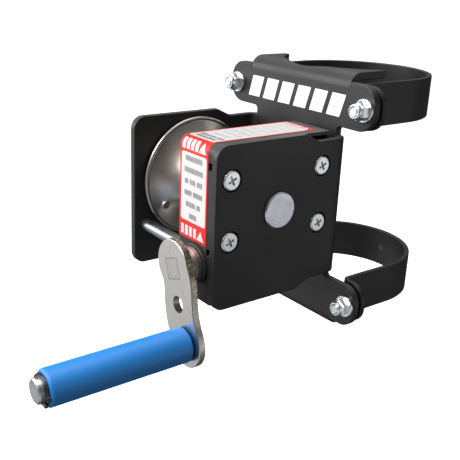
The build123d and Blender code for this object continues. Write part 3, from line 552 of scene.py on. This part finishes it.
# Name, place from the object's middle, size and power of each soft box.
SOFT_BOXES = (
    ("key", (-0.80, -0.90, 0.40), 0.7, 11.0),
    ("front", (0.00, -0.40, 0.40), 0.30, 3.4),
    ("top", (-0.15, 0.20, 1.2), 0.9, 5.0),
    ("side", (1.1, 0.75, -0.10), 0.7, 1.4),
    ("fill", (0.60, -0.60, -0.60), 1.0, 2.4),
)
AMBIENT = 0.10
FLOOR_DROP = 0.12
FLOOR_HALF = 60.0
floor_level = cad_low.z - FLOOR_DROP
floor_corners = [
    (x * FLOOR_HALF, y * FLOOR_HALF, floor_level) for x, y in ((-1, -1), (1, -1), (1, 1), (-1, 1))
]
floor_mesh = bpy.data.meshes.new("floor")
floor_mesh.from_pydata(floor_corners, [], [(0, 1, 2, 3)])
floor = bpy.data.objects.new("floor", floor_mesh)
bpy.context.scene.collection.objects.link(floor)
floor_mesh.materials.append(floor_paint("floor_paint"))
floor.visible_glossy = False
floor.visible_diffuse = False

target = Vector((-0.0134, -0.0844, -0.0255))
azimuth = math.radians(52.04)
elevation = math.radians(19.70)
roll = math.radians(2.44)
distance = 0.4668

level_reach = math.cos(elevation)
back = Vector(
    (math.sin(azimuth) * level_reach, -math.cos(azimuth) * level_reach, math.sin(elevation))
)
level_right = (-back).cross(Vector((0, 0, 1))).normalized()
level_up = level_right.cross(-back)
camera_right = math.cos(roll) * level_right + math.sin(roll) * level_up
camera_up = -math.sin(roll) * level_right + math.cos(roll) * level_up
camera_data = bpy.data.cameras.new("camera")
camera_data.sensor_width = 36.0
camera_data.lens = 58.35
camera_data.clip_start = 0.01
camera = bpy.data.objects.new("camera", camera_data)
camera_matrix = Matrix((camera_right, camera_up, back)).transposed().to_4x4()
camera_matrix.translation = target + back * distance
camera.matrix_world = camera_matrix
bpy.context.scene.collection.objects.link(camera)
bpy.context.scene.camera = camera


def soft_box(name, place, size, power):
    """Square area light aimed at the object's middle."""
    data = bpy.data.lights.new(name, "AREA")
    data.size = size
    data.energy = power
    lamp = bpy.data.objects.new(name, data)
    lamp.location = target + Vector(place)
    lamp.rotation_euler = Vector(place).to_track_quat("Z", "Y").to_euler()
    bpy.context.scene.collection.objects.link(lamp)


for soft_light in SOFT_BOXES:
    soft_box(*soft_light)

sun_data = bpy.data.lights.new("sun", "SUN")
sun_data.energy = 0.5
sun_data.angle = math.radians(60)
sun = bpy.data.objects.new("sun", sun_data)
sun.rotation_euler = (math.radians(-12), math.radians(-10), 0)
bpy.context.scene.collection.objects.link(sun)

world = bpy.data.worlds.new("studio")
bpy.context.scene.world = world
world.use_nodes = True
sky = world.node_tree
sky.nodes.clear()


def sky_node(kind, **settings):
    made = sky.nodes.new(kind)
    for key, value in settings.items():
        setattr(made, key, value)
    return made


def sky_math(operation, first, second):
    made = sky_node("ShaderNodeMath", operation=operation)
    for socket, value in zip(made.inputs, (first, second)):
        if isinstance(value, bpy.types.NodeSocket):
            sky.links.new(value, socket)
        else:
            socket.default_value = value
    return made.outputs[0]


def sky_glow(direction, sharpness, strength):
    """Soft glow of the studio round one direction."""
    dot = sky_node("ShaderNodeVectorMath", operation="DOT_PRODUCT")
    sky.links.new(sky_direction, dot.inputs[0])
    dot.inputs[1].default_value = Vector(direction).normalized()
    facing = sky_math("MAXIMUM", dot.outputs["Value"], 0.0)
    return sky_math("MULTIPLY", sky_math("POWER", facing, sharpness), strength)


sky_direction = sky_node("ShaderNodeTexCoord").outputs["Generated"]
glow = AMBIENT
for direction, sharpness, strength in STUDIO_GLOWS:
    glow = sky_math("ADD", sky_glow(direction, sharpness, strength), glow)
around = sky_node("ShaderNodeBackground")
sky.links.new(glow, around.inputs["Strength"])
seen = sky_node("ShaderNodeBackground")
seen.inputs["Color"].default_value = grey(1.0)
ray = sky_node("ShaderNodeLightPath")
choose = sky_node("ShaderNodeMixShader")
output = sky_node("ShaderNodeOutputWorld")
sky.links.new(ray.outputs["Is Camera Ray"], choose.inputs[0])
sky.links.new(around.outputs[0], choose.inputs[1])
sky.links.new(seen.outputs[0], choose.inputs[2])
sky.links.new(choose.outputs[0], output.inputs[0])
bpy.context.scene.view_settings.view_transform = "Standard"
